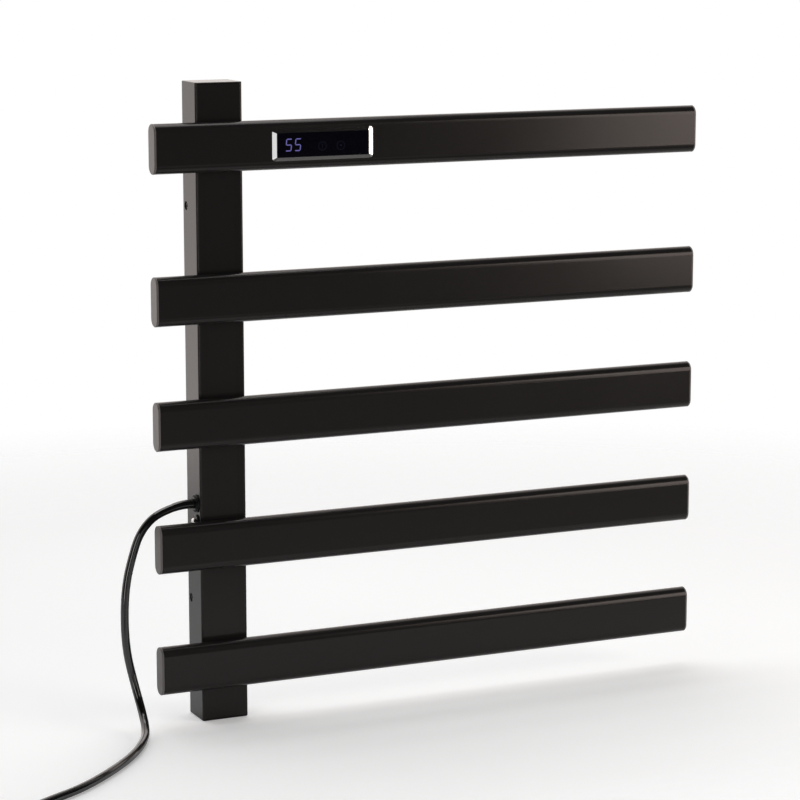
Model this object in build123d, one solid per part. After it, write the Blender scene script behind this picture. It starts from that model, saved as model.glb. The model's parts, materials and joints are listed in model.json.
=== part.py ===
from build123d import *
import math
import os

# Wall-mounted electric towel warmer: a rectangular post carries five flat-oval heated bars on its front.
# Frame: X to the right along the bars, Y into the wall, Z up. The wall is the plane Y = 0, and the origin
# lies on it, on the post's centre line and midway between the two wall brackets. All sizes in mm.

# ---- driving dimensions -------------------------------------------------------------------------------
post_width = 50.0
post_depth = 40.0
post_height = 656.0
post_wall = 1.5
post_corner_radius = 2.5
post_lip = 5.5  # lip left at each side of the open back
wall_gap = 30.0  # from the wall to the back of the post

bar_height = 50.0
bar_depth = 18.0
bar_edge_radius = 8.8
bar_wall = 1.4
bar_length = 614.0
bar_overhang = 50.0  # how far the bars reach to the left of the post
top_bar_drop = 63.5  # from the top of the post to the middle of bar 1
first_pitch = 152.0  # bar 1 to bar 2
bar_pitch = 126.3  # between the other bars
bar_count = 5

cap_plate = 2.0
cap_plug_depth = 6.0
cap_edge = 0.6
fit_clearance = 0.15
cover_clearance = 0.3

bracket_from_end = 125.0
bracket_flange_radius = 12.4
bracket_flange_thickness = 4.0
bracket_radius = 10.0
bracket_bore_radius = 6.0
bracket_insertion = 20.0
bracket_clearance = 0.4
wall_screw_hole_radius = 2.75
set_screw_radius = 4.0
set_screw_access_radius = 4.5
set_screw_from_back = 10.0
set_screw_socket = 4.0
set_screw_socket_depth = 4.0
clamp_bush_radius = 7.0
clamp_bush_length = 8.0
bracket_flat_depth = 1.0

fixing_spacing = 26.0
fixing_rise = 8.0
bolt_radius = 2.5
bolt_hole_radius = 2.7
bolt_head_radius = 4.3
bolt_head_height = 3.5
bolt_tip = 1.0
bolt_socket_radius = 2.0
bolt_socket_depth = 2.0
nut_plate_length = 42.0
nut_plate_height = 14.0
nut_plate_thickness = 3.0
wire_hole_radius = 5.2
wire_hole_drop = 10.8
grommet_wall = 0.9
grommet_clearance = 0.1
grommet_flange = 1.5
grommet_flange_thickness = 1.2

heater_radius = 2.5
heater_half_gap = 13.0
heater_from_back = 10.5  # cable centre from the back face of the bar
heater_end_gap = 5.0
heater_tail_gap = 8.0
splice_margin = 0.3

bezel_length = 110.0
bezel_height = 32.0
bezel_proud = 1.2
bezel_corner_radius = 3.5
bezel_centre_x = 104.6
window_length = 100.2
window_height = 24.2
window_thickness = 2.0
window_recess = 0.2
window_clearance = 0.1
ledge_width = 1.2
ledge_thickness = 1.0
window_corner_radius = 0.7
opening_corner_radius = 0.8
bezel_land = 0.3  # flat rim left round the window opening
bezel_land_corner = 1.0
collar_wall = 1.8
collar_depth = 4.4
digits_x = 72.1
digit_height = 13.0
digit_width = 7.0
digit_pitch = 9.9
digit_stroke = 1.3
digit_lean = 6.0
led_module_length = 25.0
led_module_height = 17.6
led_module_depth = 5.4
led_gap = 0.2
lit_thickness = 0.15
segment_gap = 0.4
key_x = (103.7, 123.9)
key_z = -2.2
key_pad_radius = 3.5
board_thickness = 1.6
control_board_length = 96.0
control_board_height = 22.0
carrier_thickness = 1.5
carrier_gap = 2.0
carrier_post_radius = 2.0
carrier_post_inset = 1.5
carrier_edge = 1.0

power_board_width = 34.0
power_board_height = 58.0
power_board_below_bar = 107.5  # middle of the board below the middle of bar 1
power_board_standoff = 4.0
standoff_radius = 2.2
standoff_inset = 4.0
relay_size = (15.0, 15.0, 20.0)
transformer_size = (18.0, 16.0, 18.0)
terminal_strip_size = (10.0, 9.0, 24.0)
capacitor_radius = 4.0
capacitor_height = 12.0
parts_left = -14.0  # left edge of the relay and the transformer
strip_left = 4.0
capacitor_x = 9.5
part_inset = 6.0  # relay from the board's lower edge
ribbon_width = 5.5
ribbon_thickness = 0.8

gland_above_bar = 15.0  # gland centre above the top edge of bar 4
gland_from_front = 11.3
gland_flange_radius = 9.25
gland_flange_thickness = 1.2
gland_dome_height = 2.2
gland_neck_wall = 1.0
gland_neck_length = 1.6
gland_ribs = 18
gland_rib_width = 0.9
gland_shoulder = 1.4  # how far the dome's face stands out round the neck
gland_thread_radius = 6.0
gland_nut_radius = 8.6
gland_nut_thickness = 4.0
gland_inside = 8.0

strain_relief_root_wall = 0.6
strain_relief_tip_wall = 0.15
strain_relief_straight = 4.0
strain_relief_droop = 15.3  # degrees that the tip hangs down
strain_relief_bend = 60.0

earth_screw_below_gland = 20.0
earth_screw_from_front = 10.5
earth_washer_radius = 8.5
earth_washer_thickness = 2.0
earth_head_radius = 5.2
earth_head_height = 3.4
earth_head_dome = 2.2
earth_slot_width = 1.2
earth_slot_length = 6.4
earth_slot_depth = 1.8
earth_washer_bevel = 0.8
earth_thread_radius = 3.0
earth_thread_length = 12.0
earth_nut_radius = 5.8
earth_nut_thickness = 5.0

cord_diameter = 8.4
core_radius = 1.2
pair_radius = 1.3
loom_radius = 3.0
loom_branch_radius = 1.8
terminal_block_size = (26.0, 12.0, 30.0)
terminal_block_above_gland = 48.1

# ---- places worked out from them ----------------------------------------------------------------------
post_back = -wall_gap
post_front = -(wall_gap + post_depth)
bar_back = post_front
bar_front = bar_back - bar_depth
post_half = post_width / 2
post_top = post_height / 2
post_bottom = -post_height / 2
inner_half = post_half - post_wall
inner_front = post_front + post_wall
inner_back = post_back - post_wall
bar_left = -post_half - bar_overhang
bar_right = bar_left + bar_length
bar_z = [post_top - top_bar_drop] + [
    post_top - top_bar_drop - first_pitch - bar_pitch * step for step in range(bar_count - 1)
]
bracket_z = [post_top - bracket_from_end, post_bottom + bracket_from_end]
set_screw_y = post_back - set_screw_from_back
gland_y = post_front + gland_from_front
gland_z = bar_z[3] + bar_height / 2 + gland_above_bar
earth_y = post_front + earth_screw_from_front
earth_z = gland_z - earth_screw_below_gland
heater_y = bar_back - heater_from_back
floor_z = post_bottom
cord_radius = cord_diameter / 2
cord_z = floor_z + cord_radius
gland_neck_radius = cord_radius + gland_neck_wall

os.makedirs("parts", exist_ok=True)


def save(name, *solids):
    shape = solids[0] if len(solids) == 1 else Compound(children=list(solids))
    shape.label = name
    export_step(shape, "parts/" + name + ".step")


def block(x0, x1, y0, y1, z0, z1):
    """A box between two corners."""
    middle = ((x0 + x1) / 2, (y0 + y1) / 2, (z0 + z1) / 2)
    return Pos(*middle) * Box(abs(x1 - x0), abs(y1 - y0), abs(z1 - z0))


def rod_x(radius, x0, x1, y, z):
    return Pos((x0 + x1) / 2, y, z) * Rot(0, 90, 0) * Cylinder(radius, abs(x1 - x0))


def rod_y(radius, y0, y1, x, z):
    return Pos(x, (y0 + y1) / 2, z) * Rot(90, 0, 0) * Cylinder(radius, abs(y1 - y0))


def rod_z(radius, z0, z1, x, y):
    return Pos(x, y, (z0 + z1) / 2) * Cylinder(radius, abs(z1 - z0))


def hex_x(across_corners, x0, x1, y, z):
    plane = Plane(origin=(x0, y, z), x_dir=(0, 1, 0), z_dir=(1, 0, 0))
    return extrude(plane * RegularPolygon(across_corners, 6), x1 - x0)


def rounded_xy(width, depth, radius, z0, z1, y_middle):
    """An upright prism with a rounded rectangular section, centred on the post's centre line."""
    return extrude(Pos(0, y_middle, z0) * RectangleRounded(width, depth, radius), z1 - z0)


def bar_section(x, z, inset):
    """The flat-oval outline of a bar, facing along X, inset by a distance on every side."""
    plane = Plane(origin=(x, (bar_back + bar_front) / 2, z), x_dir=(0, 1, 0), z_dir=(1, 0, 0))
    return plane * RectangleRounded(bar_depth - 2 * inset, bar_height - 2 * inset, bar_edge_radius - inset)


def front_panel(y, length, height, radius):
    """A rounded rectangle facing the room, centred on the display."""
    plane = Plane(origin=(bezel_centre_x, y, bar_z[0]), x_dir=(1, 0, 0), z_dir=(0, -1, 0))
    return plane * RectangleRounded(length, height, radius)


def tube_along(points, radii, radius):
    """A round rod along straight runs joined by tangent arcs."""
    path = FilletPolyline(*points, radius=radii)
    section = Plane(origin=path @ 0, z_dir=path % 0) * Circle(radius)
    return sweep(section, path=path)


# ---- post ---------------------------------------------------------------------------------------------
post_middle_y = (post_front + post_back) / 2
tube_low = post_bottom + cap_plate
tube_high = post_top - cap_plate


def post_channel():
    """The folded front and sides, with a lip at each side of the open back."""
    shell = rounded_xy(post_width, post_depth, post_corner_radius, tube_low, tube_high, post_middle_y)
    shell -= rounded_xy(
        post_width - 2 * post_wall,
        post_depth - 2 * post_wall,
        post_corner_radius - post_wall,
        tube_low,
        tube_high,
        post_middle_y,
    )
    opening = post_half - post_lip
    shell -= block(-opening, opening, inner_back, post_back, tube_low, tube_high)
    for z in bar_z:
        for side in (-1, 1):
            x = side * fixing_spacing / 2
            shell -= rod_y(bolt_hole_radius, post_front, inner_front, x, z + fixing_rise)
        shell -= rod_y(wire_hole_radius, post_front, inner_front, 0, z - wire_hole_drop)
    for z in bracket_z:
        shell -= rod_x(set_screw_access_radius, -post_half, -inner_half, set_screw_y, z)
    shell -= rod_x(gland_thread_radius, -post_half, -inner_half, gland_y, gland_z)
    shell -= rod_x(earth_thread_radius, -post_half, -inner_half, earth_y, earth_z)
    return shell


def post_back_cover():
    """A strip that slides up between the lips, with an inner flange behind them."""
    half = post_half - post_lip - cover_clearance
    inner_corner = post_corner_radius - post_wall
    wide = inner_half - inner_corner - cover_clearance
    cover = block(-half, half, inner_back, post_back, tube_low, tube_high)
    cover += block(-wide, wide, inner_back - post_wall, inner_back, tube_low, tube_high)
    for z in bracket_z:
        hole = bracket_radius + bracket_clearance
        cover -= rod_y(hole, inner_back - post_wall, post_back, 0, z)
    return cover


def post_cap(top):
    """An end plate of the post, with a plug that fits inside the channel in front of the back cover."""
    low, high = (tube_high, post_top) if top else (post_bottom, tube_low)
    plate = rounded_xy(post_width, post_depth, post_corner_radius, low, high, post_middle_y)
    rim = plate.faces().sort_by(Axis.Z)[-1 if top else 0]
    plate = chamfer(rim.edges(), cap_edge)
    plug_low, plug_high = (low - cap_plug_depth, low) if top else (high, high + cap_plug_depth)
    front = inner_front + fit_clearance
    back = inner_back - post_wall - fit_clearance
    wide = 2 * (inner_half - fit_clearance)
    radius = post_corner_radius - post_wall
    return plate + rounded_xy(wide, back - front, radius, plug_low, plug_high, (front + back) / 2)


save("post_channel", post_channel())
save("post_back_cover", post_back_cover())
save("post_top_cap", post_cap(True))
save("post_bottom_cap", post_cap(False))


# ---- wall brackets ------------------------------------------------------------------------------------
def wall_bracket(z):
    """A turned stub: a flange on the wall, one wall screw through its web, a flat for the set screw."""
    tip = post_back - bracket_insertion
    stub = rod_y(bracket_flange_radius, -bracket_flange_thickness, 0, 0, z)
    stub += rod_y(bracket_radius, tip, -bracket_flange_thickness, 0, z)
    stub -= rod_y(bracket_bore_radius, tip, -bracket_flange_thickness, 0, z)
    stub -= rod_y(wall_screw_hole_radius, -bracket_flange_thickness, 0, 0, z)
    flat = bracket_radius - bracket_flat_depth
    low = set_screw_y - set_screw_radius - 1
    high = set_screw_y + set_screw_radius + 1
    return stub - block(-bracket_radius - 1, -flat, low, high, z - bracket_radius, z + bracket_radius)


def clamp_bush(z):
    start = -inner_half
    bush = rod_x(clamp_bush_radius, start, start + clamp_bush_length, set_screw_y, z)
    return bush - rod_x(set_screw_radius, start, start + clamp_bush_length, set_screw_y, z)


def set_screw(z):
    tip = -(bracket_radius - bracket_flat_depth)
    screw = rod_x(set_screw_radius, -inner_half, tip, set_screw_y, z)
    socket_end = -inner_half + set_screw_socket_depth
    return screw - hex_x(set_screw_socket / 2, -inner_half, socket_end, set_screw_y, z)


save("wall_brackets", *[wall_bracket(z) for z in bracket_z])
save("bracket_clamp_bushes", *[clamp_bush(z) for z in bracket_z])
save("bracket_set_screws", *[set_screw(z) for z in bracket_z])


# ---- heated bars --------------------------------------------------------------------------------------
tube_left = bar_left + cap_plate
tube_right = bar_right - cap_plate
window_cut_length = window_length + 2 * collar_wall + 2 * fit_clearance
window_cut_height = window_height + 2 * collar_wall + 2 * fit_clearance


def bar_tube(number):
    z = bar_z[number]
    length = tube_right - tube_left
    tube = extrude(bar_section(tube_left, z, 0), length)
    tube -= extrude(bar_section(tube_left, z, bar_wall), length)
    for side in (-1, 1):
        x = side * fixing_spacing / 2
        tube -= rod_y(bolt_hole_radius, bar_back - bar_wall, bar_back, x, z + fixing_rise)
    tube -= rod_y(wire_hole_radius, bar_back - bar_wall, bar_back, 0, z - wire_hole_drop)
    if number == 0:
        opening = front_panel(bar_front + bar_wall, window_cut_length, window_cut_height, collar_wall)
        tube -= extrude(opening, bar_wall)
    return tube


def bar_cap(number, left):
    z = bar_z[number]
    start = bar_left if left else tube_right
    plate = extrude(bar_section(start, z, 0), cap_plate)
    outer = plate.faces().sort_by(Axis.X)[0 if left else -1]
    plate = chamfer(outer.edges(), cap_edge)
    plug_start = tube_left if left else tube_right - cap_plug_depth
    return plate + extrude(bar_section(plug_start, z, bar_wall + fit_clearance), cap_plug_depth)


def heating_cable(number):
    """A loop of heating cable: two long legs joined at the ends, open where its tails meet their wires."""
    z = bar_z[number]
    high = z + heater_half_gap
    low = z - heater_half_gap
    bend = heater_half_gap - 0.5  # leaves a short straight between the two corners of each end
    right = tube_right - cap_plug_depth - heater_end_gap - heater_radius
    if number == 0:
        left = bezel_centre_x + bezel_length / 2 + heater_tail_gap
        points = [(left, high), (right, high), (right, low), (left, low)]
    else:
        left = tube_left + cap_plug_depth + heater_end_gap + heater_radius
        points = [(-heater_tail_gap, low), (left, low), (left, high), (right, high), (right, low)]
        points.append((heater_tail_gap, low))
    points = [(x, heater_y, level) for x, level in points]
    return tube_along(points, bend, heater_radius)


def heater_splice(number):
    """A potted joint between the tails of a heating cable and the wires that feed it."""
    z = bar_z[number]
    reach = heater_radius + splice_margin
    if number == 0:
        tail = bezel_centre_x + bezel_length / 2 + heater_tail_gap
        low = z - heater_half_gap - reach
        high = z + heater_half_gap + reach
        return block(tail - 2 * reach, tail, heater_y - reach, heater_y + reach, low, high)
    low = z - heater_half_gap - reach
    high = z - wire_hole_drop + reach
    return block(-heater_tail_gap, heater_tail_gap, heater_y - reach, heater_y + reach, low, high)


def nut_plate(z):
    half = nut_plate_length / 2
    inner = bar_back - bar_wall
    rise = fixing_rise
    plate = block(
        -half,
        half,
        inner - nut_plate_thickness,
        inner,
        z + rise - nut_plate_height / 2,
        z + rise + nut_plate_height / 2,
    )
    for side in (-1, 1):
        x = side * fixing_spacing / 2
        plate -= rod_y(bolt_radius, inner - nut_plate_thickness, inner, x, z + rise)
    return plate


def fixing_bolt(x, z):
    head = rod_y(bolt_head_radius, inner_front, inner_front + bolt_head_height, x, z)
    tip = bar_back - bar_wall - nut_plate_thickness - bolt_tip
    bolt = head + rod_y(bolt_radius, tip, inner_front, x, z)
    plane = Plane(origin=(x, inner_front + bolt_head_height, z), x_dir=(1, 0, 0), z_dir=(0, -1, 0))
    return bolt - extrude(plane * RegularPolygon(bolt_socket_radius, 6), bolt_socket_depth)


def grommet(z):
    """A rubber ring that lines the wire hole through post and bar, with a flange inside the post."""
    low = bar_back - bar_wall
    ring = rod_y(wire_hole_radius - grommet_clearance, low, inner_front, 0, z)
    high = inner_front + grommet_flange_thickness
    ring += rod_y(wire_hole_radius + grommet_flange, inner_front, high, 0, z)
    return ring - rod_y(wire_hole_radius - grommet_wall, low, high, 0, z)


for index in range(bar_count):
    label = str(index + 1)
    save("bar_tube_" + label, bar_tube(index))
    save("bar_left_cap_" + label, bar_cap(index, True))
    save("bar_right_cap_" + label, bar_cap(index, False))
save("top_bar_heating_cable", heating_cable(0))
save("heating_cables", *[heating_cable(index) for index in range(1, bar_count)])
save("heater_splices", *[heater_splice(index) for index in range(bar_count)])
save("bar_nut_plates", *[nut_plate(z) for z in bar_z])
save(
    "bar_fixing_bolts",
    *[fixing_bolt(side * fixing_spacing / 2, z + fixing_rise) for z in bar_z for side in (-1, 1)],
)
save("wire_grommets", *[grommet(z - wire_hole_drop) for z in bar_z])

# ---- display and touch control in bar 1 ---------------------------------------------------------------
bezel_face = bar_front - bezel_proud
window_front = bezel_face + window_recess
window_back = window_front + window_thickness
led_front = window_back + led_gap
board_front = led_front + led_module_depth
board_back = board_front + board_thickness
carrier_front = board_back + carrier_gap
control_z = bar_z[0]


def display_bezel():
    """A bevelled frame on the face of bar 1, with a collar into the bar and a ledge behind the window."""
    rim_length = window_length + 2 * window_clearance
    rim_height = window_height + 2 * window_clearance
    foot = front_panel(bar_front, bezel_length, bezel_height, bezel_corner_radius)
    land_length = rim_length + 2 * bezel_land
    land_height = rim_height + 2 * bezel_land
    top = front_panel(bezel_face, land_length, land_height, bezel_land_corner)
    frame = loft([foot, top])
    collar_length = rim_length + 2 * (collar_wall - window_clearance)
    collar_height = rim_height + 2 * (collar_wall - window_clearance)
    collar_end = bar_front + collar_depth
    frame += extrude(front_panel(collar_end, collar_length, collar_height, collar_wall), collar_depth)
    ledge_back = window_back + ledge_thickness
    corner = opening_corner_radius
    opening = front_panel(window_back, rim_length, rim_height, corner)
    frame -= extrude(opening, window_thickness + window_recess)
    hole_length = rim_length - 2 * ledge_width
    hole_height = rim_height - 2 * ledge_width
    frame -= extrude(front_panel(ledge_back, hole_length, hole_height, corner), ledge_thickness)
    pocket = front_panel(collar_end, rim_length, rim_height, corner)
    return frame - extrude(pocket, collar_end - ledge_back)


def segment(x, z, length, upright):
    """One lit bar of a digit: a slim hexagon, leaning with the digit."""
    half = length / 2
    stroke = digit_stroke / 2
    outline = [(-half, 0), (-half + stroke, -stroke), (half - stroke, -stroke)]
    outline += [(half, 0), (half - stroke, stroke), (-half + stroke, stroke)]
    if upright:
        outline = [(-b, a) for a, b in outline]
    lean = math.tan(math.radians(digit_lean))
    points = [(x + a + (z + b) * lean, z + b) for a, b in outline]
    plane = Plane(origin=(0, led_front, control_z), x_dir=(1, 0, 0), z_dir=(0, -1, 0))
    return extrude(plane * Polygon(*points, align=None), lit_thickness)


def lit_digits():
    """Two fives: top, upper left, middle, lower right and bottom bars of each digit."""
    lit = []
    half_width = (digit_width - digit_stroke) / 2
    half_height = (digit_height - digit_stroke) / 2
    bar = 2 * half_width - segment_gap
    side = half_height - segment_gap
    for step in (-1, 1):
        x = digits_x + step * digit_pitch / 2
        for level in (half_height, 0, -half_height):
            lit.append(segment(x, level, bar, False))
        lit.append(segment(x - half_width, half_height / 2, side, True))
        lit.append(segment(x + half_width, -half_height / 2, side, True))
    return lit


save("display_bezel", display_bezel())
save(
    "display_window",
    extrude(front_panel(window_back, window_length, window_height, window_corner_radius), window_thickness),
)
save(
    "led_digit_module",
    block(
        digits_x - led_module_length / 2,
        digits_x + led_module_length / 2,
        led_front,
        board_front,
        control_z - led_module_height / 2,
        control_z + led_module_height / 2,
    ),
)
save("lit_digits", *lit_digits())
pad_z = control_z + key_z
save("touch_key_pads", *[rod_y(key_pad_radius, window_back, board_front, x, pad_z) for x in key_x])
board_left = bezel_centre_x - control_board_length / 2
board_right = bezel_centre_x + control_board_length / 2
board_low = control_z - control_board_height / 2
board_high = control_z + control_board_height / 2
save("control_board", block(board_left, board_right, board_front, board_back, board_low, board_high))


def control_carrier():
    """The tray behind the control board, with four short posts that hold it off."""
    tray = block(
        board_left - carrier_edge,
        board_right + carrier_edge,
        carrier_front,
        carrier_front + carrier_thickness,
        board_low,
        board_high,
    )
    inset = carrier_post_radius + carrier_post_inset
    for x in (board_left + inset, board_right - inset):
        for z in (board_low + inset, board_high - inset):
            tray += rod_y(carrier_post_radius, board_back, carrier_front, x, z)
    return tray


save("control_carrier", control_carrier())

# ---- power electronics in the post --------------------------------------------------------------------
power_front = inner_front + power_board_standoff
power_back = power_front + board_thickness
power_middle = bar_z[0] - power_board_below_bar
power_low = power_middle - power_board_height / 2
power_high = power_middle + power_board_height / 2


def power_board():
    half = power_board_width / 2
    return block(-half, half, power_front, power_back, power_low, power_high)


def standoffs():
    made = []
    x = power_board_width / 2 - standoff_inset
    for side in (-1, 1):
        for z in (power_low + standoff_inset, power_high - standoff_inset):
            made.append(rod_y(standoff_radius, inner_front, power_front, side * x, z))
    return made


def board_part(left, low, size):
    """A moulded component that stands on the power board."""
    width, depth, height = size
    return block(left, left + width, power_back, power_back + depth, low, low + height)


transformer_low = power_high - 8.0 - transformer_size[2]
strip_low = power_low + 4.0
strip_right = strip_left + terminal_strip_size[0]
save("power_board", power_board())
save("power_board_standoffs", *standoffs())
save("power_relay", board_part(parts_left, power_low + part_inset, relay_size))
save("power_transformer", board_part(parts_left, transformer_low, transformer_size))
save("board_terminal_strip", board_part(strip_left, strip_low, terminal_strip_size))
capacitor_end = power_back + capacitor_height
save("power_capacitor", rod_y(capacitor_radius, power_back, capacitor_end, capacitor_x, power_high - 14.0))

block_width, block_depth, block_height = terminal_block_size
terminal_low = gland_z + terminal_block_above_gland - block_height / 2


def terminal_block():
    """A three-pole screw terminal: a moulded body with a screw well over each pole."""
    half = block_width / 2
    front = inner_front
    body = block(-half, half, front, front + block_depth, terminal_low, terminal_low + block_height)
    well_radius = 2.4
    well_depth = 4.0
    well_inset = 8.0
    back = front + block_depth
    for pole in (-1, 0, 1):
        for z in (terminal_low + well_inset, terminal_low + block_height - well_inset):
            body -= rod_y(well_radius, back - well_depth, back, pole * block_width / 3, z)
    return body


save("terminal_block", terminal_block())
cutout_radius = 2.0
probe_radius = 1.6
sensor_y = bar_back - bar_wall - cutout_radius - 0.2
save("thermal_cutout", rod_x(cutout_radius, 60, 74, sensor_y, bar_z[1]))
save("temperature_sensor", rod_x(probe_radius, 190, 200, sensor_y, bar_z[0]))

# ---- mains cord entry ---------------------------------------------------------------------------------
inside_end = -inner_half + gland_inside
gland_end = -post_half - gland_flange_thickness - gland_dome_height - gland_neck_length


def cable_gland():
    """A domed, ribbed bush through the side of the post, with a short neck and a bore for the cord."""
    flange_face = -post_half - gland_flange_thickness
    dome_face = flange_face - gland_dome_height
    bush = rod_x(gland_flange_radius, flange_face, -post_half, gland_y, gland_z)
    base = Plane(origin=(flange_face, gland_y, gland_z), z_dir=(-1, 0, 0))
    shoulder = gland_neck_radius + gland_shoulder
    bush += loft([base * Circle(gland_flange_radius), base.offset(gland_dome_height) * Circle(shoulder)])
    slant = math.degrees(math.atan2(gland_flange_radius - shoulder, gland_dome_height))
    rib_place = Pos((gland_flange_radius + shoulder) / 2, 0, gland_dome_height / 2) * Rot(0, -slant, 0)
    rib_bar = Box(gland_rib_width, gland_rib_width, gland_dome_height)
    for rib in range(gland_ribs):
        bush += base * Rot(0, 0, 360 * rib / gland_ribs) * rib_place * rib_bar
    bush += rod_x(gland_neck_radius, gland_end, dome_face, gland_y, gland_z)
    bush += rod_x(gland_thread_radius, -post_half, inside_end, gland_y, gland_z)
    return bush - rod_x(cord_radius, gland_end, inside_end, gland_y, gland_z)


def gland_lock_nut():
    nut = hex_x(gland_nut_radius, -inner_half, -inner_half + gland_nut_thickness, gland_y, gland_z)
    hole = rod_x(gland_thread_radius, -inner_half, -inner_half + gland_nut_thickness, gland_y, gland_z)
    return nut - hole


def strain_relief():
    """A tapered sleeve that droops a little with the cord, lofted through round sections along an arc."""
    start = gland_end
    straight = strain_relief_straight
    steps = 4
    root = cord_radius + strain_relief_root_wall
    tip = cord_radius + strain_relief_tip_wall
    sections = []
    for step in range(steps + 1):
        share = step / steps
        angle = math.radians(strain_relief_droop * share)
        x = start - straight - strain_relief_bend * math.sin(angle)
        z = gland_z - strain_relief_bend * (1 - math.cos(angle))
        radius = root + (tip - root) * share
        direction = (-math.cos(angle), 0, -math.sin(angle))
        sections.append(Plane(origin=(x, gland_y, z), z_dir=direction) * Circle(radius))
    return loft(sections) + rod_x(root, start - straight, start, gland_y, gland_z)


save("cable_gland", cable_gland())
save("gland_lock_nut", gland_lock_nut())
save("strain_relief", strain_relief())
sheath_end = inside_end + 3
save("inner_mains_lead", rod_x(cord_radius, gland_end, sheath_end, gland_y, gland_z))


def mains_cores():
    """Three cores from the end of the sheath up to the terminal block."""
    cores = []
    core_pitch = 2.2
    core_bend = 3.0
    entry_y = inner_front + 5.5
    for pole in (-1, 0, 1):
        target = pole * block_width / 3
        y = gland_y + pole * core_pitch
        rise = gland_z + 12 + 4 * pole
        points = [(sheath_end, y, gland_z), (sheath_end + 6, y, gland_z), (target, entry_y, rise)]
        points.append((target, entry_y, terminal_low))
        cores.append(tube_along(points, core_bend, core_radius))
    return cores


save("mains_cores", *mains_cores())

washer_face = -post_half - earth_washer_thickness


def earth_screw():
    """A domed screw with a cross recess, its thread through the wall of the post."""
    head = rod_x(earth_head_radius, washer_face - earth_head_height, washer_face, earth_y, earth_z)
    head = fillet(head.faces().sort_by(Axis.X)[0].edges(), earth_head_dome)
    tip = -inner_half + earth_thread_length
    head += rod_x(earth_thread_radius, washer_face, tip, earth_y, earth_z)
    outer = washer_face - earth_head_height
    deep = outer + earth_slot_depth
    wide = earth_slot_width / 2
    reach = earth_slot_length / 2
    head -= block(outer, deep, earth_y - wide, earth_y + wide, earth_z - reach, earth_z + reach)
    return head - block(outer, deep, earth_y - reach, earth_y + reach, earth_z - wide, earth_z + wide)


def earth_washer():
    ring = rod_x(earth_washer_radius, washer_face, -post_half, earth_y, earth_z)
    ring = chamfer(ring.faces().sort_by(Axis.X)[0].edges(), earth_washer_bevel)
    return ring - rod_x(earth_thread_radius, washer_face, -post_half, earth_y, earth_z)


def earth_nut():
    start = -inner_half
    nut = hex_x(earth_nut_radius, start, start + earth_nut_thickness, earth_y, earth_z)
    return nut - rod_x(earth_thread_radius, start, start + earth_nut_thickness, earth_y, earth_z)


save("earth_screw", earth_screw())
save("earth_cup_washer", earth_washer())
save("earth_nut", earth_nut())


# ---- wiring inside the post ---------------------------------------------------------------------------
loom_x = inner_half - 5
loom_y = power_back + 6
splice_back = heater_y + heater_radius + splice_margin
pair_x = 1.8  # the pair and the ribbon share the wire hole of bar 1
ribbon_x = -1.6
hole_z = [level - wire_hole_drop for level in bar_z]


def bar_supply_loom():
    """A sleeved trunk up the right side of the post, with a branch through the wire hole of bars 2 to 5."""
    top = power_low + 16
    loom = rod_z(loom_radius, hole_z[-1] - loom_radius, top, loom_x, loom_y)
    loom += rod_x(loom_branch_radius, strip_right, loom_x, loom_y, top - loom_branch_radius)
    for z in hole_z[1:]:
        loom += rod_x(loom_branch_radius, 0, loom_x, loom_y, z)
        loom += rod_y(loom_branch_radius, splice_back, loom_y, 0, z)
        loom += Pos(0, loom_y, z) * Sphere(loom_branch_radius)
    return loom


def top_bar_supply():
    """The pair of wires to the cable of bar 1, which passes behind the control board."""
    z = hole_z[0]
    along_y = bar_back - bar_wall - 3
    splice_left = bezel_centre_x + bezel_length / 2 + heater_tail_gap - 2 * (heater_radius + splice_margin)
    down_x = strip_right + pair_radius + 0.3
    end_z = power_low + 20
    pair = rod_x(pair_radius, pair_x, splice_left, along_y, z)
    pair += Pos(pair_x, along_y, z) * Sphere(pair_radius)
    pair += rod_y(pair_radius, along_y, loom_y, pair_x, z)
    pair += Pos(pair_x, loom_y, z) * Sphere(pair_radius)
    pair += rod_x(pair_radius, pair_x, down_x, loom_y, z)
    pair += Pos(down_x, loom_y, z) * Sphere(pair_radius)
    pair += rod_z(pair_radius, end_z, z, down_x, loom_y)
    return pair


def feed_wires():
    """Line and neutral from the terminal block up to the power board."""
    top = power_low + 4
    y = inner_front + 7.0
    return [rod_z(core_radius, terminal_low + block_height, top, x, y) for x in (7.0, 11.0)]


def control_ribbon():
    """A flat cable from the control board, through the wire hole of bar 1 and down to the power board."""
    z = hole_z[0]
    half = ribbon_thickness / 2
    width = ribbon_width / 2
    left = ribbon_x - half
    right = ribbon_x + half
    out = power_back + 6.5
    drop = power_high - 3
    ribbon = block(left, board_left + 1, board_back, board_back + ribbon_thickness, z - width, z + width)
    ribbon += block(left, right, board_back, out, z - width, z + width)
    ribbon += block(left, right, out - 1, out, drop, z + width)
    return ribbon + block(left, right, power_back, out, drop, drop + 1)


save("bar_supply_loom", bar_supply_loom())
save("top_bar_supply", top_bar_supply())
save("feed_wires", *feed_wires())
save("control_ribbon", control_ribbon())

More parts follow.
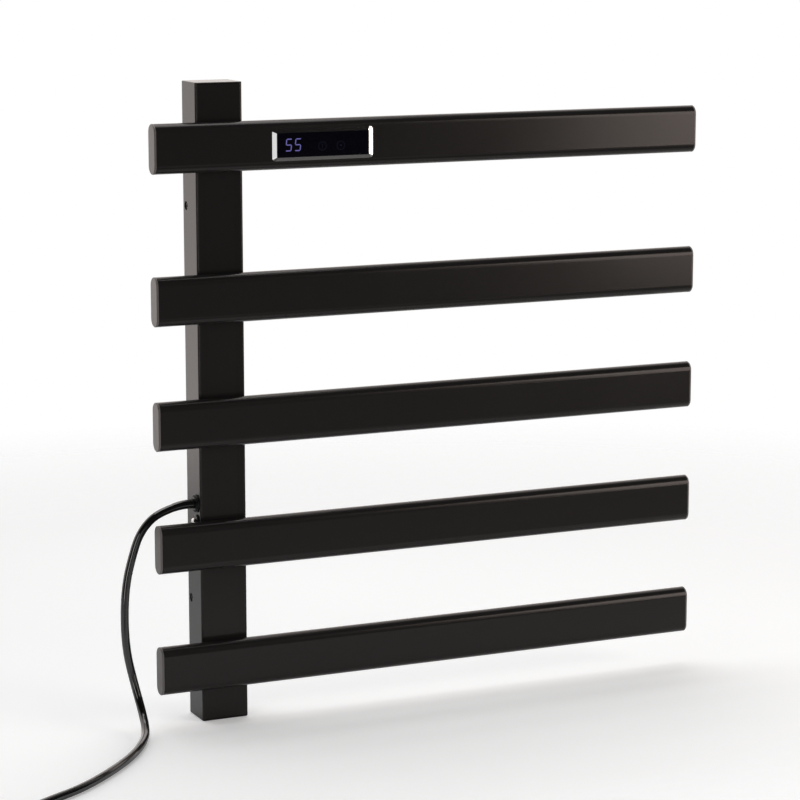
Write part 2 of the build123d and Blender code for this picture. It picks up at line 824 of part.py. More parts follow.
# ---- power cord ---------------------------------------------------------------------------------------
# The cord leaves the strain relief, hangs beside the post, lands on the surface level with the bottom of
# the post and runs forward and to the left. The rest is wound into a coil, with the plug beside it.
droop = math.radians(strain_relief_droop)
relief_tip = (
    gland_end - strain_relief_straight - strain_relief_bend * math.sin(droop),
    gland_y,
    gland_z - strain_relief_bend * (1 - math.cos(droop)),
)
first_run = 14.0  # straight run from the strain relief, still along its droop
land_x = relief_tip[0]  # distances in X and Y along the cord are measured from the strain relief's tip
land_y = gland_y
cord_points = [
    relief_tip,
    (land_x - first_run * math.cos(droop), gland_y, relief_tip[2] - first_run * math.sin(droop)),
    (land_x - 26.7, land_y - 0.5, relief_tip[2] - 11.4),
    (land_x - 38.2, land_y - 1.8, relief_tip[2] - 24.8),
    (land_x - 45.1, land_y - 1.3, relief_tip[2] - 44.3),
    (land_x - 52.6, land_y - 0.5, relief_tip[2] - 73.4),
    (land_x - 55.2, land_y - 0.6, floor_z + 116.5),
    (land_x - 53.4, land_y - 0.4, floor_z + 80.4),
    (land_x - 46.3, land_y - 1.8, floor_z + 47.3),
    (land_x - 43.1, land_y - 15.4, cord_z + 17.1),
    (land_x - 46.4, land_y - 37.0, cord_z + 2.8),
    (land_x - 56.7, land_y - 61.0, cord_z),
    (land_x - 81.6, land_y - 101.2, cord_z),
    (land_x - 117.4, land_y - 141.4, cord_z),
    (land_x - 162.7, land_y - 181.9, cord_z),
    (land_x - 206.2, land_y - 205.8, cord_z),
    (land_x - 240.2, land_y - 230.3, cord_z),
    (land_x - 260.2, land_y - 263.3, cord_z),
    (land_x - 265.7, land_y - 296.3, cord_z),
    (land_x - 266.2, land_y - 319.3, cord_z),
]
coil_centre = (land_x - 220.2, land_y - 326.3)
coil_middle_radius = 42.1
coil_layers_overlap = 1.0  # the upper turns settle between the lower ones
coil_corner = 3.4
plug_radius = 18.5
plug_axis_y = land_y - 371.3
plug_axis_z = floor_z + plug_radius
plug_tail_x = land_x - 147.2
plug_neck_wall = 1.7
upper_z = cord_z + cord_diameter - 1.2  # the plug's lead leaves from the upper layer
lead_points = [
    (land_x - 200.2, land_y - 368.8, upper_z),
    (land_x - 186.2, land_y - 369.3, upper_z + 0.2),
    (land_x - 173.2, land_y - 369.9, upper_z + 2.0),
    (land_x - 160.2, land_y - 370.9, plug_axis_z - 1.7),
    (plug_tail_x, plug_axis_y, plug_axis_z),
]


def cord_radii(points):
    """The largest tangent arc that each corner's two runs allow."""
    places = [Vector(*point) for point in points]
    radii = []
    for before, corner, after in zip(places, places[1:], places[2:]):
        run_in = corner - before
        run_out = after - corner
        turn = math.radians(run_in.get_angle(run_out))
        shorter = min(run_in.length, run_out.length)
        radii.append(0.45 * shorter / math.tan(turn / 2))
    return radii


def cord_tube(points, name):
    radii = cord_radii(points)
    path = FilletPolyline(*points, radius=radii)
    section = Plane(origin=path @ 0, z_dir=path % 0) * Circle(cord_radius)
    tube = sweep(section, path=path)
    expected = math.pi * cord_diameter**2 / 4 * path.length
    print(name, "radii", [round(radius) for radius in radii])
    print(name, "length", round(path.length, 1), "volume", round(tube.volume), "expected", round(expected))
    return tube


def cord_coil():
    """The outer shape of the wound turns: a ring with a rounded section, flat on the surface."""
    width = 2 * cord_diameter
    height = 2 * cord_diameter - coil_layers_overlap
    outline = RectangleRounded(width, height, coil_corner)
    section = Plane.XZ * Pos(coil_middle_radius, floor_z + height / 2) * outline
    ring = revolve(section, Axis.Z)
    return Pos(coil_centre[0], coil_centre[1], 0) * ring


save("power_cord", cord_tube(cord_points, "cord"), cord_tube(lead_points, "plug lead"))
save("cord_coil", cord_coil())

# ---- plug ---------------------------------------------------------------------------------------------
plug_body_length = 52.0
plug_face_length = 17.0
pin_radius = 2.4
pin_length = 19.0
pin_spacing = 19.0
plug_face_x = plug_tail_x + plug_body_length


def plug_body():
    """A round earthed plug: a grip disc with two side notches, and a neck that tapers to the cord."""
    profile = Polyline(
        (plug_tail_x, 0),
        (plug_tail_x, cord_radius + plug_neck_wall),
        (plug_tail_x + 14, 7.0),
        (plug_tail_x + 26, 12.5),
        (plug_face_x - plug_face_length, 16.0),
        (plug_face_x - plug_face_length + 3, plug_radius),
        (plug_face_x - 1.2, plug_radius),
        (plug_face_x, plug_radius - 1.2),
        (plug_face_x, 0),
        close=True,
    )
    body = revolve(make_face(profile), Axis.X)
    for side in (-1, 1):
        notch = block(plug_face_x - 13, plug_face_x + 1, side * 14.6, side * 20, -3.2, 3.2)
        body -= notch
    return Pos(0, plug_axis_y, plug_axis_z) * body


def plug_pin(side):
    y = plug_axis_y + side * pin_spacing / 2
    pin = rod_x(pin_radius, plug_face_x, plug_face_x + pin_length, y, plug_axis_z)
    return fillet(pin.faces().sort_by(Axis.X)[-1].edges(), 1.6)


save("plug_body", plug_body())
save("plug_pins", plug_pin(-1), plug_pin(1))
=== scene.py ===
import json
import math

import bmesh
import bpy
from mathutils import Matrix, Vector


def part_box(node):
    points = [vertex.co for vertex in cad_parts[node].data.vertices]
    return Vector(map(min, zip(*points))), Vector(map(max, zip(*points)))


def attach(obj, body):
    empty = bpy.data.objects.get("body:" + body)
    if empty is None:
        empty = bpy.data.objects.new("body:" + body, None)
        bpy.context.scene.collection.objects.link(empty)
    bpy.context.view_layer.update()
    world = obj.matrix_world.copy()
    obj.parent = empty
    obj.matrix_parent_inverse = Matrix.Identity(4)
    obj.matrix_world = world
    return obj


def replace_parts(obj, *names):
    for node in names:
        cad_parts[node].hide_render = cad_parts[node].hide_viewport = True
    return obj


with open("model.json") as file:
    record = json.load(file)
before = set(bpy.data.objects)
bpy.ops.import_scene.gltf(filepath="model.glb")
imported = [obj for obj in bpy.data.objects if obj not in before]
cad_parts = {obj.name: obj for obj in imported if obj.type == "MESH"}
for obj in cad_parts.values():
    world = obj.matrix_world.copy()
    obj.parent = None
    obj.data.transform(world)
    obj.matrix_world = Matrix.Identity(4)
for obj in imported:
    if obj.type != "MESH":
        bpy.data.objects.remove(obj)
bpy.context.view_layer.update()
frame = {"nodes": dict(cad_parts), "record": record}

# Looks of a wall-mounted electric towel warmer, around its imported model. Metres; the wall is Y = 0, the
# room is towards -Y, X runs right along the bars and Z is up.

MM = 0.001
TAU = 2 * math.pi


# ---- camera -------------------------------------------------------------------------------------------
CAMERA_PLACE = (-0.9985, -2.6758, 0.50685)
CAMERA_YAW = math.radians(24.669)
CAMERA_PITCH = math.radians(10.175)
CAMERA_LENS = 125.57
CAMERA_SENSOR = 36.0


def add_camera():
    """A long lens to the left of the rack, a little above its middle."""
    data = bpy.data.cameras.new("camera")
    camera = bpy.data.objects.new("camera", data)
    bpy.context.scene.collection.objects.link(camera)
    level = math.cos(CAMERA_PITCH)
    ahead = Vector((math.sin(CAMERA_YAW) * level, math.cos(CAMERA_YAW) * level, -math.sin(CAMERA_PITCH)))
    right = Vector((math.cos(CAMERA_YAW), -math.sin(CAMERA_YAW), 0.0))
    up = right.cross(ahead)
    turn = Matrix((right, up, -ahead)).transposed()
    camera.matrix_world = Matrix.Translation(CAMERA_PLACE) @ turn.to_4x4()
    data.lens = CAMERA_LENS
    data.sensor_width = CAMERA_SENSOR
    data.clip_end = 50.0
    bpy.context.scene.camera = camera


add_camera()


# ---- shader helpers -----------------------------------------------------------------------------------
class Shader:
    """A material's node tree, with short calls to add and join nodes."""

    def __init__(self, name):
        self.material = bpy.data.materials.new(name)
        self.material.use_nodes = True
        self.tree = self.material.node_tree
        self.surface = self.tree.nodes["Principled BSDF"]

    def set(self, **values):
        """Sets constant values on the shader's own sockets."""
        for key, value in values.items():
            self.surface.inputs[key.replace("_", " ")].default_value = value

    def node(self, kind, **settings):
        made = self.tree.nodes.new(kind)
        for key, value in settings.items():
            setattr(made, key, value)
        return made

    def join(self, source, target):
        self.tree.links.new(source, target)

    def place(self):
        """Object coordinates, in metres."""
        return self.node("ShaderNodeTexCoord").outputs["Object"]

    def stretched(self, scale):
        mapping = self.node("ShaderNodeMapping")
        mapping.inputs["Scale"].default_value = scale
        self.join(self.place(), mapping.inputs["Vector"])
        return mapping.outputs["Vector"]

    def noise(self, vector, scale, detail=3.0, rough=0.5):
        noise = self.node("ShaderNodeTexNoise")
        noise.inputs["Scale"].default_value = scale
        noise.inputs["Detail"].default_value = detail
        noise.inputs["Roughness"].default_value = rough
        self.join(vector, noise.inputs["Vector"])
        return noise.outputs["Fac"]

    def spread(self, value, low, high, start=0.0, end=1.0):
        """Maps a value from start..end to low..high."""
        made = self.node("ShaderNodeMapRange")
        made.inputs["From Min"].default_value = start
        made.inputs["From Max"].default_value = end
        made.inputs["To Min"].default_value = low
        made.inputs["To Max"].default_value = high
        self.join(value, made.inputs["Value"])
        return made.outputs["Result"]

    def math(self, operation, first, second):
        made = self.node("ShaderNodeMath", operation=operation)
        for socket, value in zip(made.inputs, (first, second)):
            if isinstance(value, (int, float)):
                socket.default_value = value
            else:
                self.join(value, socket)
        return made.outputs[0]

    def blend(self, factor, first, second):
        """A colour between two, by a factor."""
        mix = self.node("ShaderNodeMix", data_type="RGBA")
        self.join(factor, mix.inputs["Factor"])
        for socket, value in ((mix.inputs["A"], first), (mix.inputs["B"], second)):
            if isinstance(value, tuple):
                socket.default_value = value
            else:
                self.join(value, socket)
        return mix.outputs["Result"]

    def bump(self, height, distance, strength=1.0):
        made = self.node("ShaderNodeBump")
        made.inputs["Distance"].default_value = distance
        made.inputs["Strength"].default_value = strength
        self.join(height, made.inputs["Height"])
        self.join(made.outputs["Normal"], self.surface.inputs["Normal"])

    def edges(self, low=0.52, high=0.60):
        """Close to 1 along convex edges."""
        point = self.node("ShaderNodeNewGeometry").outputs["Pointiness"]
        return self.spread(point, 0.0, 1.0, low, high)


def grey(value, tint=(0.0, 0.0, 0.0)):
    return (value + tint[0], value + tint[1], value + tint[2], 1.0)


# ---- materials ----------------------------------------------------------------------------------------
def black_enamel():
    """Baked satin black enamel: fine orange peel, a little cloudiness, dust specks and paler worn edges."""
    m = Shader("black_enamel")
    place = m.place()
    cloud = m.noise(place, 14.0, 4.0, 0.6)
    dust = m.spread(m.noise(place, 900.0, 2.0, 0.6), 0.0, 1.0, 0.70, 0.80)
    base = m.blend(cloud, grey(0.0026, (0.0004, 0.0, 0.0)), grey(0.0044, (0.0006, 0.0002, 0.0)))
    base = m.blend(m.math("MULTIPLY", dust, 0.10), base, grey(0.12))
    base = m.blend(m.math("MULTIPLY", m.edges(), 0.25), base, grey(0.05))
    m.join(base, m.surface.inputs["Base Color"])
    rough = m.spread(m.noise(place, 9.0, 3.0, 0.5), 0.18, 0.21, 0.3, 0.7)
    m.join(m.math("ADD", rough, m.math("MULTIPLY", dust, 0.15)), m.surface.inputs["Roughness"])
    m.set(Specular_IOR_Level=0.30, Specular_Tint=(1.0, 0.93, 0.90, 1.0))
    peel = m.noise(place, 1100.0, 1.0, 0.4)
    m.bump(peel, 0.00002, 0.5)
    return m.material


def cap_plastic_with_painted_light():
    """Satin moulded end caps, painted a little warmer and paler than the enamel as painted light for the
    light their faces catch, with paler rubbed edges.
    """
    m = Shader("cap_plastic_with_painted_light")
    place = m.place()
    cloud = m.noise(place, 40.0, 3.0, 0.6)
    # painted light: a pale warm grey base on the black caps stands in for the light their faces catch
    base = m.blend(cloud, grey(0.108, (0.010, 0.003, 0.0)), grey(0.128, (0.011, 0.003, 0.0)))
    base = m.blend(m.math("MULTIPLY", m.edges(), 0.3), base, grey(0.15))
    m.join(base, m.surface.inputs["Base Color"])
    m.join(m.spread(cloud, 0.40, 0.50), m.surface.inputs["Roughness"])
    m.set(Specular_IOR_Level=0.60, Specular_Tint=(1.0, 0.95, 0.93, 1.0))
    m.bump(m.noise(place, 1500.0, 2.0, 0.6), 0.00002, 0.4)
    return m.material


def polished_chrome():
    """Bright plating with faint wipe marks."""
    m = Shader("polished_chrome")
    wipe = m.noise(m.stretched((30.0, 30.0, 400.0)), 3.0, 4.0, 0.7)
    m.join(m.blend(wipe, grey(0.66), grey(0.74)), m.surface.inputs["Base Color"])
    m.join(m.spread(wipe, 0.05, 0.11), m.surface.inputs["Roughness"])
    m.set(Metallic=1.0)
    m.bump(wipe, 0.00001, 0.3)
    return m.material


def bright_steel():
    m = Shader("bright_steel")
    grain = m.noise(m.stretched((400.0, 60.0, 60.0)), 6.0, 4.0, 0.7)
    m.join(m.blend(grain, grey(0.46), grey(0.62)), m.surface.inputs["Base Color"])
    m.join(m.spread(grain, 0.22, 0.36), m.surface.inputs["Roughness"])
    m.set(Metallic=1.0)
    m.bump(grain, 0.00002, 0.4)
    return m.material


def dark_window():
    """Tinted hard-coated plastic, nearly black with a navy cast, with fine wipe marks."""
    m = Shader("dark_window")
    smear = m.noise(m.stretched((60.0, 60.0, 90.0)), 2.0, 4.0, 0.6)
    base = m.blend(smear, (0.0020, 0.0021, 0.0045, 1.0), (0.0034, 0.0036, 0.0080, 1.0))
    m.join(base, m.surface.inputs["Base Color"])
    m.join(m.spread(smear, 0.06, 0.12), m.surface.inputs["Roughness"])
    m.set(Specular_IOR_Level=0.4)
    return m.material


def glowing(name, colour, strength):
    """A lit symbol whose brightness varies a little by a fine cell pattern."""
    m = Shader(name)
    cell = m.noise(m.place(), 700.0, 1.0, 0.4)
    dimmer = tuple(channel * 0.85 for channel in colour[:3]) + (1.0,)
    m.join(m.blend(cell, dimmer, colour), m.surface.inputs["Emission Color"])
    m.set(Base_Color=(0.003, 0.003, 0.006, 1.0), Emission_Strength=strength, Roughness=0.15)
    return m.material


def moulded_black():
    """Injection-moulded black plastic with a fine spark-eroded grain."""
    m = Shader("moulded_black")
    place = m.place()
    grain = m.noise(place, 1600.0, 2.0, 0.6)
    cloud = m.noise(place, 60.0, 3.0, 0.5)
    base = m.blend(cloud, grey(0.004), grey(0.008))
    m.join(m.blend(m.math("MULTIPLY", m.edges(), 0.3), base, grey(0.05)), m.surface.inputs["Base Color"])
    m.join(m.spread(cloud, 0.20, 0.30), m.surface.inputs["Roughness"])
    m.set(Specular_IOR_Level=0.25)
    m.bump(grain, 0.00003, 0.5)
    return m.material


def cord_sheath():
    """Smooth, shiny flexible sheath with faint drag marks and a trace of dust."""
    m = Shader("cord_sheath")
    place = m.place()
    dust = m.spread(m.noise(place, 500.0, 3.0, 0.6), 0.0, 1.0, 0.62, 0.80)
    cloud = m.noise(place, 70.0, 3.0, 0.6)
    base = m.blend(cloud, grey(0.004), grey(0.008))
    m.join(m.blend(m.math("MULTIPLY", dust, 0.12), base, grey(0.10)), m.surface.inputs["Base Color"])
    m.join(m.spread(cloud, 0.08, 0.13), m.surface.inputs["Roughness"])
    m.set(Specular_IOR_Level=0.9)
    m.bump(m.noise(place, 420.0, 2.0, 0.5), 0.00004, 0.35)
    return m.material


def plain_part(name, dark, light, rough, metal=0.0, scale=120.0):
    """An inner part: two shades of its colour, a slight grain and its own gloss."""
    m = Shader(name)
    grain = m.noise(m.place(), scale, 4.0, 0.6)
    m.join(m.blend(grain, dark, light), m.surface.inputs["Base Color"])
    m.join(m.spread(grain, rough - 0.06, rough + 0.08), m.surface.inputs["Roughness"])
    m.set(Metallic=metal)
    m.bump(m.noise(m.place(), scale * 8, 2.0, 0.5), 0.00003, 0.4)
    return m.material


def floor_paper():
    """Pale paper, drawn a little brighter than it lights, that fades into the white away from the rack."""
    m = Shader("floor_paper")
    fibre = m.noise(m.place(), 60.0, 5.0, 0.6)
    m.join(m.blend(fibre, (0.83, 0.87, 0.89, 1.0), (0.87, 0.91, 0.93, 1.0)), m.surface.inputs["Base Color"])
    m.set(Roughness=0.9, Specular_IOR_Level=0.1)
    m.bump(fibre, 0.0002, 0.2)
    seen = m.node("ShaderNodeLightPath").outputs["Is Camera Ray"]
    m.join(m.math("MULTIPLY", seen, 0.27), m.surface.inputs["Emission Strength"])
    m.set(Emission_Color=grey(1.0))
    away = m.node("ShaderNodeVectorMath", operation="LENGTH")
    m.join(m.stretched((0.8, 1.0, 1.0)), away.inputs[0])
    axes = m.node("ShaderNodeSeparateXYZ")
    m.join(m.place(), axes.inputs["Vector"])
    near = m.spread(axes.outputs["Y"], 0.0, 1.0, -1.02, -0.70)
    round_rack = m.spread(away.outputs["Value"], 1.0, 0.0, 0.60, 1.30)
    m.join(m.math("MULTIPLY", round_rack, near), m.surface.inputs["Alpha"])
    return m.material


ENAMEL = black_enamel()
CAP_WITH_PAINTED_LIGHT = cap_plastic_with_painted_light()
CHROME = polished_chrome()
STEEL = bright_steel()
WINDOW = dark_window()
MOULDED = moulded_black()
SHEATH = cord_sheath()
LIT = glowing("lit_segments", (0.22, 0.20, 0.60, 1.0), 0.68)
FAINT = glowing("faint_icons", (0.12, 0.12, 0.30, 1.0), 0.045)
TIE = plain_part("tie_cloth", grey(0.016), grey(0.03), 0.75, 0.0, 900.0)
BRASS = plain_part("plated_brass", (0.56, 0.50, 0.38, 1.0), (0.70, 0.64, 0.50, 1.0), 0.22, 1.0, 300.0)
BOARD = plain_part("board_green", (0.02, 0.13, 0.05, 1.0), (0.04, 0.20, 0.08, 1.0), 0.35)
SLEEVE = plain_part("wire_sleeve", (0.22, 0.22, 0.23, 1.0), (0.34, 0.34, 0.35, 1.0), 0.5)
METAL = plain_part("sensor_metal", (0.55, 0.55, 0.57, 1.0), (0.68, 0.68, 0.70, 1.0), 0.30, 1.0, 300.0)
GROMMET = plain_part("grommet_rubber", grey(0.012), grey(0.02), 0.6)

SLOT_MATERIALS = {
    "black_enamel": ENAMEL,
    "chrome_trim": CHROME,
    "dark_window": WINDOW,
    "black_moulding": MOULDED,
    "lit_segments": LIT,
    "cord_rubber": SHEATH,
    "grommet_rubber": GROMMET,
    "bright_steel": STEEL,
    "plug_brass": BRASS,
    "board_green": BOARD,
    "wire_sleeve": SLEEVE,
    "sensor_metal": METAL,
}


def dress_cad_nodes():
    """Gives each carried-over node the material of its slot, except the bar end caps, which get the paler
    cap material with painted light.
    """
    for entry in frame["record"]["subparts"]:
        node = frame["nodes"][entry["node"]]
        node.data.materials.clear()
        capped = "_left_cap_" in entry["node"] or "_right_cap_" in entry["node"]
        # the end caps take the paler cap material, painted light, in place of their slot's black
        node.data.materials.append(CAP_WITH_PAINTED_LIGHT if capped else SLOT_MATERIALS[entry["material_slot"]])


dress_cad_nodes()


# ---- building pieces ----------------------------------------------------------------------------------
def piece(name, mesh, material):
    """A new object from a bmesh, which rides on the part's one body."""
    data = bpy.data.meshes.new(name)
    bmesh.ops.recalc_face_normals(mesh, faces=mesh.faces)
    mesh.to_mesh(data)
    mesh.free()
    made = bpy.data.objects.new(name, data)
    bpy.context.scene.collection.objects.link(made)
    data.materials.append(material)
    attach(made, "root")
    return made


# ---- power cord ---------------------------------------------------------------------------------------
gland_low, gland_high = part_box("cable_gland")
relief_low, relief_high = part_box("strain_relief")
lead_low, lead_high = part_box("inner_mains_lead")
cord_radius = (lead_high.z - lead_low.z) / 2
floor_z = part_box("post_bottom_cap")[0].z
lie_z = floor_z + cord_radius
relief_droop = math.radians(15.3)
relief_bend = 60.0 * MM
relief_straight = 4.0 * MM
gland_y = (relief_low.y + relief_high.y) / 2
gland_z = (gland_low.z + gland_high.z) / 2
relief_root = Vector((relief_high.x, gland_y, gland_z))
relief_tip = relief_root + Vector((
    -relief_straight - relief_bend * math.sin(relief_droop),
    0,
    -relief_bend * (1 - math.cos(relief_droop)),
))
first_run = 14.0 * MM
coil_low, coil_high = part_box("cord_coil")
coil_x = (coil_low.x + coil_high.x) / 2
coil_y = (coil_low.y + coil_high.y) / 2
plug_low, plug_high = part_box("plug_body")
plug_y = (plug_low.y + plug_high.y) / 2
plug_z = (plug_low.z + plug_high.z) / 2
coil_middle = 42.1 * MM


def cord_route():
    """The control points of the cord: the free stretch given one by one, then the turns of the coil."""
    free = [(-76.5, -59.2, -113.6), (-88.0, -60.5, -127.0), (-94.9, -60.0, -146.5), (-102.4, -59.2, -175.6)]
    free += [(-105.0, -59.3, -211.5), (-103.2, -59.1, -247.6), (-96.1, -60.5, -280.7)]
    free += [(-92.9, -74.1, -306.7), (-96.2, -95.7, -321.0)]
    lying = [(-106.5, -119.7), (-131.4, -159.9), (-167.2, -200.1), (-212.5, -240.6), (-256.0, -264.5)]
    lying += [(-290.0, -289.0), (-310.0, -322.0), (-315.5, -355.0)]
    away = Vector((-math.cos(relief_droop), 0, -math.sin(relief_droop)))
    points = [relief_tip, relief_tip + first_run * away]
    points += [Vector(place) * MM for place in free]
    points += [Vector((x * MM, y * MM, lie_z)) for x, y in lying]
    points += coil_points()
    lead = [(-236.0, -428.0, -316.4), (-223.0, -428.6, -314.6)]
    points += [Vector(place) * MM for place in lead]
    points += [Vector((-0.210, -0.4296, plug_z - 1.7 * MM)), Vector((plug_low.x, plug_y, plug_z))]
    return points


def coil_points():
    """Three turns and a quarter: outer and inner turns on the surface, then back out over them."""
    steps = 16
    turns = 3.25
    diameter = 2 * cord_radius
    wide = coil_middle + cord_radius
    narrow = coil_middle - cord_radius
    leaving = coil_middle + 0.5 * cord_radius
    pull = 1.0 / math.cos(math.pi / steps) ** 0.5

    def glide(turn, start, end):
        share = min(max((turn - start) / (end - start), 0.0), 1.0)
        return share * share * (3 - 2 * share)

    points = []
    for step in range(round(steps * turns) + 1):
        turn = step / steps
        inward = glide(turn, 0.74, 1.0)
        upward = glide(turn, 1.48, 1.74)
        outward = glide(turn, 2.27, 2.5)
        onward = glide(turn, 3.05, turns)
        radius = wide + (narrow - wide) * (inward - outward) + (leaving - wide) * onward
        angle = math.pi + TAU * turn
        x = coil_x + radius * pull * math.cos(angle)
        y = coil_y + radius * pull * math.sin(angle)
        points.append(Vector((x, y, lie_z + diameter * upward)))
    return points


def add_cord():
    """One smooth curve from the strain relief to the plug."""
    data = bpy.data.curves.new("mains_cord", "CURVE")
    data.dimensions = "3D"
    data.bevel_depth = cord_radius
    data.bevel_resolution = 6
    data.resolution_u = 10
    data.use_fill_caps = True
    route = cord_route()
    spline = data.splines.new("NURBS")
    spline.points.add(len(route) - 1)
    for point, place in zip(spline.points, route):
        point.co = (*place, 1.0)
    spline.order_u = 3
    spline.use_endpoint_u = True
    made = bpy.data.objects.new("mains_cord", data)
    bpy.context.scene.collection.objects.link(made)
    data.materials.append(SHEATH)
    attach(made, "root")
    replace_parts(made, "power_cord", "cord_coil")
    return made


cord = add_cord()


def add_coil_tie():
    """A soft cloth band round the wound turns."""
    mesh = bmesh.new()
    angle = math.radians(118.0)
    outward = Vector((math.cos(angle), math.sin(angle), 0.0))
    along = Vector((-outward.y, outward.x, 0.0))
    up = Vector((0.0, 0.0, 1.0))
    half_wide = 2 * cord_radius + 0.9 * MM
    half_high = 2 * cord_radius + 0.3 * MM
    centre = Vector((coil_x, coil_y, floor_z + half_high)) + coil_middle * outward
    corner = 4.5 * MM
    band = 5.0 * MM
    thick = 0.7 * MM
    corner_steps = 6
    outline = []
    for quarter, (side, level) in enumerate(((1, 1), (-1, 1), (-1, -1), (1, -1))):
        for step in range(corner_steps + 1):
            turn = math.pi / 2 * (quarter + step / corner_steps)
            across = side * (half_wide - corner) + corner * math.cos(turn)
            high = level * (half_high - corner) + corner * math.sin(turn)
            outline.append((across, high, Vector((math.cos(turn), math.sin(turn), 0.0))))
    rows = []
    for across, high, normal in outline:
        outer = centre + across * outward + high * up
        inner = outer - thick * (normal.x * outward + normal.y * up)
        places = (outer - band * along, outer + band * along, inner + band * along, inner - band * along)
        rows.append([mesh.verts.new(place) for place in places])
    for first, second in zip(rows, rows[1:] + rows[:1]):
        for edge in range(4):
            after = (edge + 1) % 4
            mesh.faces.new((first[edge], first[after], second[after], second[edge]))
    tie = piece("coil_tie", mesh, TIE)
    for face in tie.data.polygons:
        face.use_smooth = True
    return tie


coil_tie = add_coil_tie()


# ---- lit display --------------------------------------------------------------------------------------
window_low, window_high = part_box("display_window")
digits_low, digits_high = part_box("lit_digits")
symbol_front = window_low.y - 0.03 * MM
symbol_back = window_low.y + 0.10 * MM
digits_centre_x = (digits_low.x + digits_high.x) / 2
display_z = (window_low.z + window_high.z) / 2
keys_low, keys_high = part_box("touch_key_pads")
key_z = (keys_low.z + keys_high.z) / 2
key_pad_radius = (keys_high.z - keys_low.z) / 2
key_places = (keys_low.x + key_pad_radius, keys_high.x - key_pad_radius)


def plate(mesh, outline):
    """Adds a thin prism on the window from an outline in X and Z."""
    front = [mesh.verts.new((x, symbol_front, z)) for x, z in outline]
    back = [mesh.verts.new((x, symbol_back, z)) for x, z in outline]
    mesh.faces.new(front)
    mesh.faces.new(back[::-1])
    count = len(outline)
    for index in range(count):
        after = (index + 1) % count
        mesh.faces.new((front[index], back[index], back[after], front[after]))


def digit_segment(mesh, x, z, length, upright):
    """A slim hexagon that leans with its digit; x and z are from the middle of the display's digits."""
    half = length / 2
    stroke = 0.52 * MM
    lean = math.tan(math.radians(6.0))
    outline = [(-half, 0), (-half + stroke, -stroke), (half - stroke, -stroke)]
    outline += [(half, 0), (half - stroke, stroke), (-half + stroke, stroke)]
    if upright:
        outline = [(-b, a) for a, b in outline]
    plate(mesh, [(digits_centre_x + x + a + (z + b) * lean, display_z + z + b) for a, b in outline])


def add_digits():
    """Two fives, each of five lit segments with small gaps between them."""
    mesh = bmesh.new()
    pitch = 9.9 * MM
    half_width = 2.85 * MM
    half_height = 5.85 * MM
    gap = 0.3 * MM
    across = 2 * half_width - gap
    side = half_height - gap
    for step in (-1, 1):
        x = step * pitch / 2
        for level in (half_height, 0.0, -half_height):
            digit_segment(mesh, x, level, across, False)
        digit_segment(mesh, x - half_width, half_height / 2, side, True)
        digit_segment(mesh, x + half_width, -half_height / 2, side, True)
    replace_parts(piece("digit_glow", mesh, LIT), "lit_digits")


def ring(mesh, x, z, radius, stroke):
    """A flat ring of short plates."""
    count = 40
    for step in range(count):
        corners = []
        for turn, reach in ((0, radius), (1, radius), (1, radius - stroke), (0, radius - stroke)):
            angle = math.radians(360 * (step + turn) / count)
            corners.append((x + reach * math.sin(angle), z + reach * math.cos(angle)))
        plate(mesh, corners)


def add_key_marks():
    """Faint touch marks: a ring with an upright bar for on and off, and a ring with a dot for the timer."""
    mesh = bmesh.new()
    radius = 4.5 * MM
    stroke = 0.55 * MM
    dot_radius = 0.22 * radius
    left, right = key_places
    ring(mesh, left, key_z, radius, stroke)
    low, high = key_z - 0.5 * radius, key_z + 0.5 * radius
    near, far = left - stroke / 2, left + stroke / 2
    plate(mesh, [(near, low), (far, low), (far, high), (near, high)])
    ring(mesh, right, key_z, radius, stroke)
    ring(mesh, right, key_z, dot_radius, 0.21 * radius)
    piece("key_marks", mesh, FAINT)


add_digits()
add_key_marks()


# ---- stage --------------------------------------------------------------------------------------------
WHITE_BEHIND = 1.3  # strengths of the world: behind the rack, and low, level and steeply down in front
DIM_LOW = 0.34
DIM_LEVEL = 0.012
DIM_UNDER = 0.2
WARM = (1.0, 0.93, 0.90, 1.0)
WHITE = (1.0, 1.0, 1.0, 1.0)
FLOOR_SIZE = 6.0
FLOOR_AHEAD = 1.1
FLOOR_MIDDLE = (0.1, 0.25)
FLOOR_DROP = 0.5 * MM


def add_floor():
    mesh = bmesh.new()
    bmesh.ops.create_grid(mesh, x_segments=2, y_segments=2, size=FLOOR_SIZE)
    bmesh.ops.translate(mesh, verts=mesh.verts, vec=(0.0, FLOOR_SIZE - FLOOR_AHEAD, 0.0))
    data = bpy.data.meshes.new("floor")
    mesh.to_mesh(data)
    mesh.free()
    floor = bpy.data.objects.new("floor", data)
    floor.location = (*FLOOR_MIDDLE, floor_z - FLOOR_DROP)
    bpy.context.scene.collection.objects.link(floor)
    data.materials.append(floor_paper())


def add_light(name, place, target, size, power, colour=(1.0, 1.0, 1.0)):
    data = bpy.data.lights.new(name, "AREA")
    data.shape = "RECTANGLE"
    data.size, data.size_y = size
    data.energy = power
    data.color = colour
    light = bpy.data.objects.new(name, data)
    light.location = place
    light.rotation_mode = "QUATERNION"
    light.rotation_quaternion = (Vector(target) - Vector(place)).to_track_quat("-Z", "Y")
    bpy.context.scene.collection.objects.link(light)


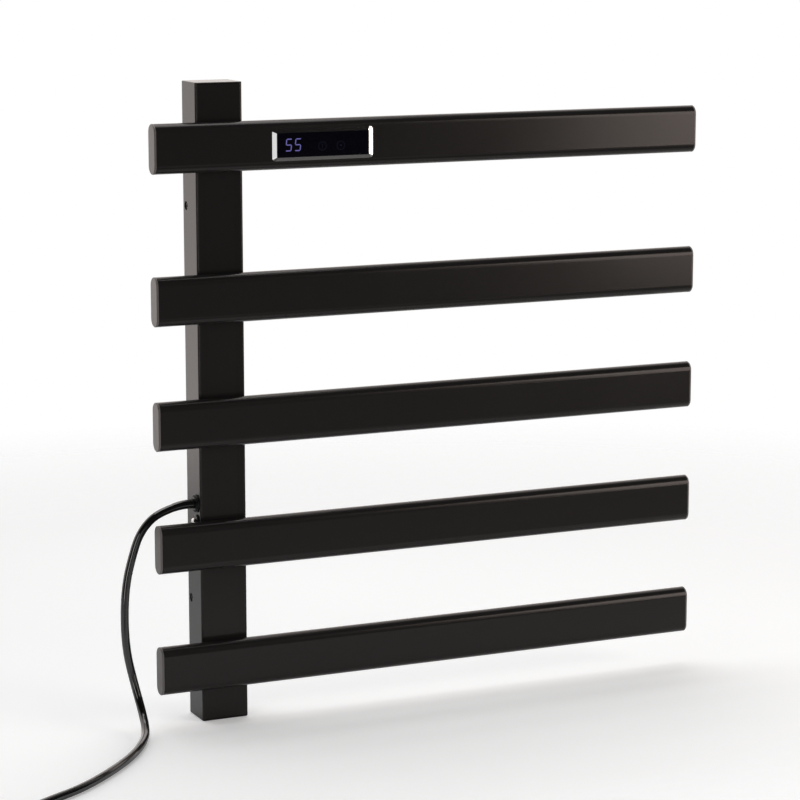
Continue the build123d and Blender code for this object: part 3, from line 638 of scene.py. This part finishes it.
def add_world():
    """A white cyclorama behind the rack and a dim room in front of it, paler towards the floor."""
    world = bpy.data.worlds.new("studio")
    world.use_nodes = True
    bpy.context.scene.world = world
    tree = world.node_tree
    nodes = tree.nodes
    join = tree.links.new
    axes = nodes.new("ShaderNodeSeparateXYZ")
    join(nodes.new("ShaderNodeTexCoord").outputs["Generated"], axes.inputs["Vector"])

    def ramp(value, low, high, start, end):
        made = nodes.new("ShaderNodeMapRange")
        made.interpolation_type = "SMOOTHSTEP"
        for name, number in (("From Min", start), ("From Max", end), ("To Min", low), ("To Max", high)):
            made.inputs[name].default_value = number
        join(value, made.inputs["Value"])
        return made.outputs["Result"]

    def combine(operation, first, second):
        made = nodes.new("ShaderNodeMath")
        made.operation = operation
        join(first, made.inputs[0])
        join(second, made.inputs[1])
        return made.outputs[0]

    behind = ramp(axes.outputs["Y"], 0.0, WHITE_BEHIND, 0.0, 0.6)
    low_front = ramp(axes.outputs["Z"], DIM_LOW, DIM_LEVEL, -0.26, -0.10)
    under = ramp(axes.outputs["Z"], DIM_UNDER, 1.0, -0.55, -0.32)
    light = combine("ADD", behind, combine("MULTIPLY", low_front, under))
    seen = nodes.new("ShaderNodeLightPath").outputs["Is Camera Ray"]
    mix = nodes.new("ShaderNodeMix")
    mix.data_type = "FLOAT"
    join(seen, mix.inputs["Factor"])
    join(light, mix.inputs["A"])
    mix.inputs["B"].default_value = 1.0
    tint = nodes.new("ShaderNodeMix")
    tint.data_type = "RGBA"
    join(seen, tint.inputs["Factor"])
    tint.inputs["A"].default_value = WARM
    tint.inputs["B"].default_value = WHITE
    join(tint.outputs["Result"], nodes["Background"].inputs["Color"])
    join(mix.outputs["Result"], nodes["Background"].inputs["Strength"])


MIDDLE = Vector((0.23, -0.09, 0.0))


def softbox(name, azimuth, elevation, distance, size, radiance, colour=(1.0, 1.0, 1.0)):
    """A rectangular light at those angles from the rack's middle; azimuth is rightward from the front."""
    turn = math.radians(azimuth)
    rise = math.radians(elevation)
    away = Vector((math.sin(turn) * math.cos(rise), -math.cos(turn) * math.cos(rise), math.sin(rise)))
    power = radiance * math.pi * size[0] * size[1]
    add_light(name, MIDDLE + distance * away, MIDDLE, size, power, colour)


bpy.context.scene.view_settings.view_transform = "Standard"
add_floor()
add_world()
softbox("right_softbox", 45.5, 13.5, 3.0, (1.5, 2.0), 4.3, (1.0, 0.90, 0.84))
softbox("front_strip", -8.0, -2.0, 3.0, (0.7, 1.3), 1.0)
softbox("left_strip", -52.0, 4.0, 3.0, (0.7, 1.8), 3.4)
add_light("overhead", (0.1, 0.25, 1.9), (0.1, 0.2, 0.0), (1.6, 1.2), 15.0)
